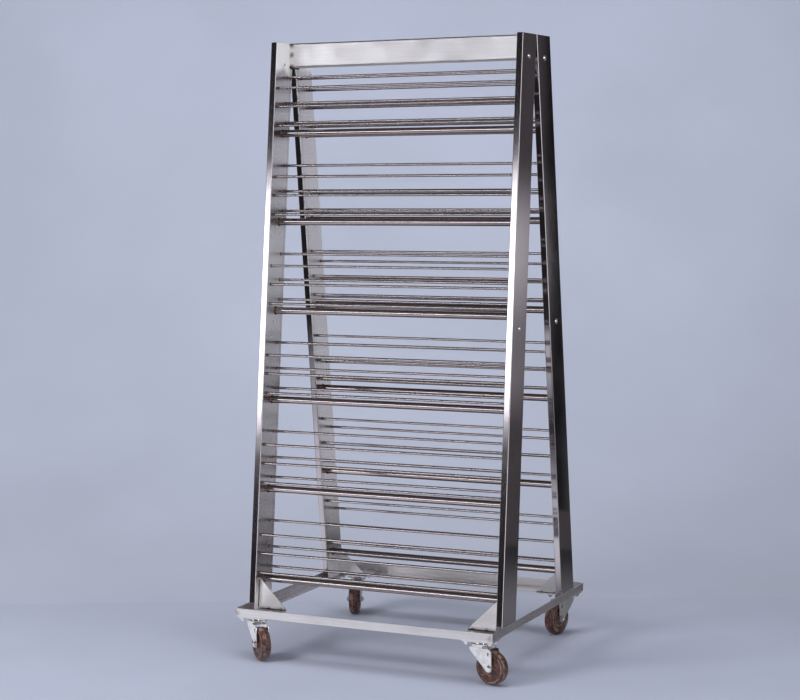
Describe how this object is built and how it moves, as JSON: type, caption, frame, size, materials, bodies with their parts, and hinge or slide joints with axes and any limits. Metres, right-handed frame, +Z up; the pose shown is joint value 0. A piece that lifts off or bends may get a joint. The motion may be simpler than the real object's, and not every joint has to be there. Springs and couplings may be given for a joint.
{
  "type": "sheet pan rack",
  "caption": "Mobile A-frame pan rack: leaning box posts on an angle-iron base with swivel casters, top beam, and slanted rod shelves on both long sides.",
  "frame": {"origin": "on the floor, under the middle of the whole outline; the swivelled casters reach past the base, so the frame's own middle is 18.5 mm towards -X and 14.0 mm towards +Y", "axes": "+Z up, +X along the shelves towards the right-hand posts, -Y towards the front shelves"},
  "size_m": [0.8828, 0.778, 1.872],
  "materials": {
    "post_steel": "near-mirror stainless box tube with very fine vertical brushing and slightly wavy faces",
    "frame_steel": "satin stainless, brushed lengthways, brown heat tint beside the welds",
    "shelf_steel": "bright drawn stainless rod and tube, faint lengthways drawing lines, brown heat tint at the ends",
    "caster_steel": "bright zinc plate, slightly cloudy",
    "wheel_phenolic": "moulded brown phenolic resin, mottled with darker patches and pale rubbed streaks"
  },
  "bodies": {
    "rack": {"post_front_left": "post_steel", "corner_plate_front_left": "frame_steel", "gusset_front_left": "frame_steel", "caster_plate_front_left": "caster_steel", "post_front_right": "post_steel", "corner_plate_front_right": "frame_steel", "gusset_front_right": "frame_steel", "caster_plate_front_right": "caster_steel", "post_rear_left": "post_steel", "corner_plate_rear_left": "frame_steel", "gusset_rear_left": "frame_steel", "caster_plate_rear_left": "caster_steel", "post_rear_right": "post_steel", "corner_plate_rear_right": "frame_steel", "gusset_rear_right": "frame_steel", "caster_plate_rear_right": "caster_steel", "top_beam": "frame_steel", "base_rail_front": "frame_steel", "base_rail_rear": "frame_steel", "base_rail_left": "frame_steel", "base_rail_right": "frame_steel", "shelf_tube_front_1": "shelf_steel", "shelf_rods_front_1": "shelf_steel", "shelf_tube_front_2": "shelf_steel", "shelf_rods_front_2": "shelf_steel", "shelf_tube_front_3": "shelf_steel", "shelf_rods_front_3": "shelf_steel", "shelf_tube_front_4": "shelf_steel", "shelf_rods_front_4": "shelf_steel", "shelf_tube_front_5": "shelf_steel", "shelf_rods_front_5": "shelf_steel", "shelf_tube_front_6": "shelf_steel", "shelf_rods_front_6": "shelf_steel", "shelf_tube_rear_1": "shelf_steel", "shelf_rods_rear_1": "shelf_steel", "shelf_tube_rear_2": "shelf_steel", "shelf_rods_rear_2": "shelf_steel", "shelf_tube_rear_3": "shelf_steel", "shelf_rods_rear_3": "shelf_steel", "shelf_tube_rear_4": "shelf_steel", "shelf_rods_rear_4": "shelf_steel", "shelf_tube_rear_5": "shelf_steel", "shelf_rods_rear_5": "shelf_steel", "shelf_tube_rear_6": "shelf_steel", "shelf_rods_rear_6": "shelf_steel"},
    "fork_front_left": {"caster_fork_front_left": "caster_steel", "caster_axle_front_left": "caster_steel"},
    "wheel_front_left": {"caster_wheel_front_left": "wheel_phenolic"},
    "fork_front_right": {"caster_fork_front_right": "caster_steel", "caster_axle_front_right": "caster_steel"},
    "wheel_front_right": {"caster_wheel_front_right": "wheel_phenolic"},
    "fork_rear_left": {"caster_fork_rear_left": "caster_steel", "caster_axle_rear_left": "caster_steel"},
    "wheel_rear_left": {"caster_wheel_rear_left": "wheel_phenolic"},
    "fork_rear_right": {"caster_fork_rear_right": "caster_steel", "caster_axle_rear_right": "caster_steel"},
    "wheel_rear_right": {"caster_wheel_rear_right": "wheel_phenolic"}
  },
  "joints": [
    {"name": "swivel_front_left", "type": "hinge", "parent": "rack", "child": "fork_front_left", "pos_m": [-0.38852, -0.32196, 0.108], "axis": [0, 0, 1], "continuous": true},
    {"name": "roll_front_left", "type": "hinge", "parent": "fork_front_left", "child": "wheel_front_left", "pos_m": [-0.35788, -0.34767, 0.05], "axis": [0.6428, 0.766, 0], "continuous": true},
    {"name": "swivel_front_right", "type": "hinge", "parent": "rack", "child": "fork_front_right", "pos_m": [0.35148, -0.32196, 0.108], "axis": [0, 0, 1], "continuous": true},
    {"name": "roll_front_right", "type": "hinge", "parent": "fork_front_right", "child": "wheel_front_right", "pos_m": [0.39045, -0.33095, 0.05], "axis": [0.225, 0.9744, 0], "continuous": true},
    {"name": "swivel_rear_left", "type": "hinge", "parent": "rack", "child": "fork_rear_left", "pos_m": [-0.38852, 0.35004, 0.108], "axis": [0, 0, 1], "continuous": true},
    {"name": "roll_rear_left", "type": "hinge", "parent": "fork_rear_left", "child": "wheel_rear_left", "pos_m": [-0.3755, 0.31222, 0.05], "axis": [0.9455, 0.3256, 0], "continuous": true},
    {"name": "swivel_rear_right", "type": "hinge", "parent": "rack", "child": "fork_rear_right", "pos_m": [0.35148, 0.35004, 0.108], "axis": [0, 0, 1], "continuous": true},
    {"name": "roll_rear_right", "type": "hinge", "parent": "fork_rear_right", "child": "wheel_rear_right", "pos_m": [0.3418, 0.31123, 0.05], "axis": [0.9703, -0.2419, 0], "continuous": true}
  ]
}
